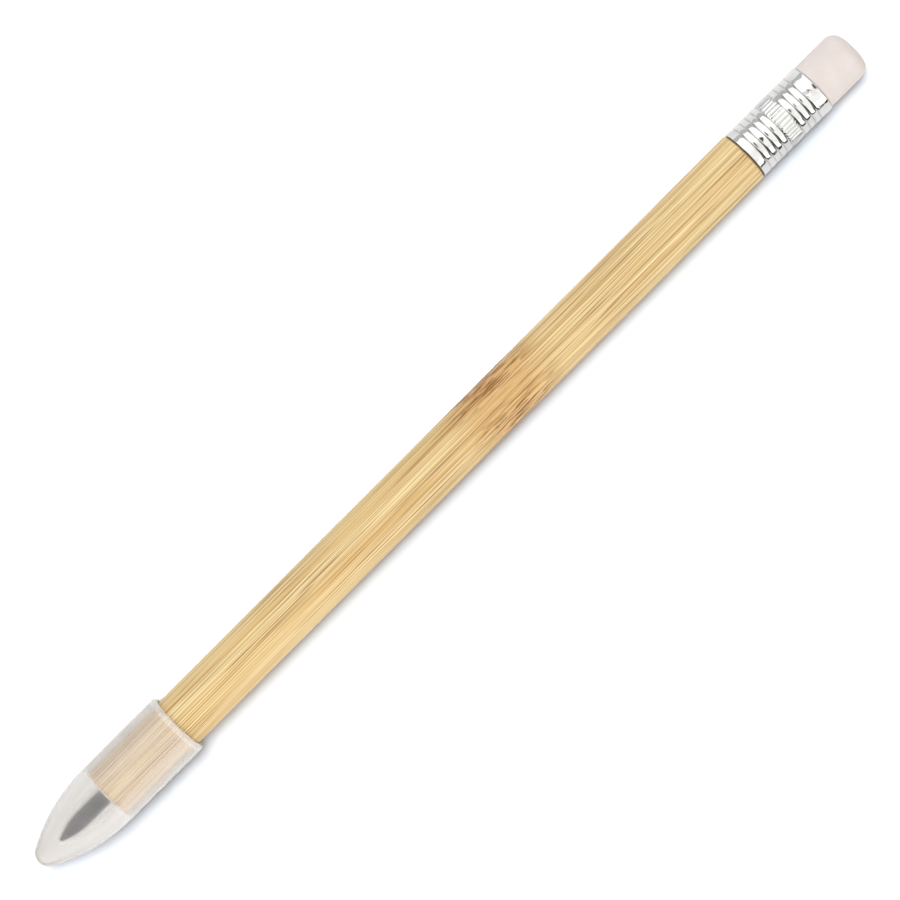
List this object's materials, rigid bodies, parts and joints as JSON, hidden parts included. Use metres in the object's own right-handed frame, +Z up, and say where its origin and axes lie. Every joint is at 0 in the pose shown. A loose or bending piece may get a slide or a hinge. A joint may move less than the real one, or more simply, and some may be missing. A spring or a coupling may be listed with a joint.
{
  "type": "inkless pencil",
  "caption": "Round bamboo pencil with a writing nib under a translucent pull-off cap, and a beaded aluminium ferrule that holds an eraser.",
  "frame": {"origin": "on the surface that the pencil lies on, under the middle of its length", "axes": "+X along the pencil from the nib to the eraser, +Z up from the surface that it lies on"},
  "size_m": [0.1816, 0.011, 0.0109],
  "materials": {
    "bamboo": "sanded and thinly varnished bamboo",
    "writing_alloy": "dark satin alloy, rubbed smooth",
    "cap_plastic": "moulded translucent polypropylene, faintly frosted",
    "ferrule_aluminium": "rolled and bright",
    "eraser_rubber": "matt, pale pinkish white"
  },
  "bodies": {
    "pencil": {"bamboo_barrel": "bamboo", "nib": "writing_alloy", "ferrule": "ferrule_aluminium", "eraser": "eraser_rubber"},
    "cap": {"cap": "cap_plastic"}
  },
  "joints": [
    {"name": "cap_pull", "type": "slide", "parent": "pencil", "child": "cap", "axis": [-1, 0, 0], "range_m": [0, 0.035]}
  ]
}
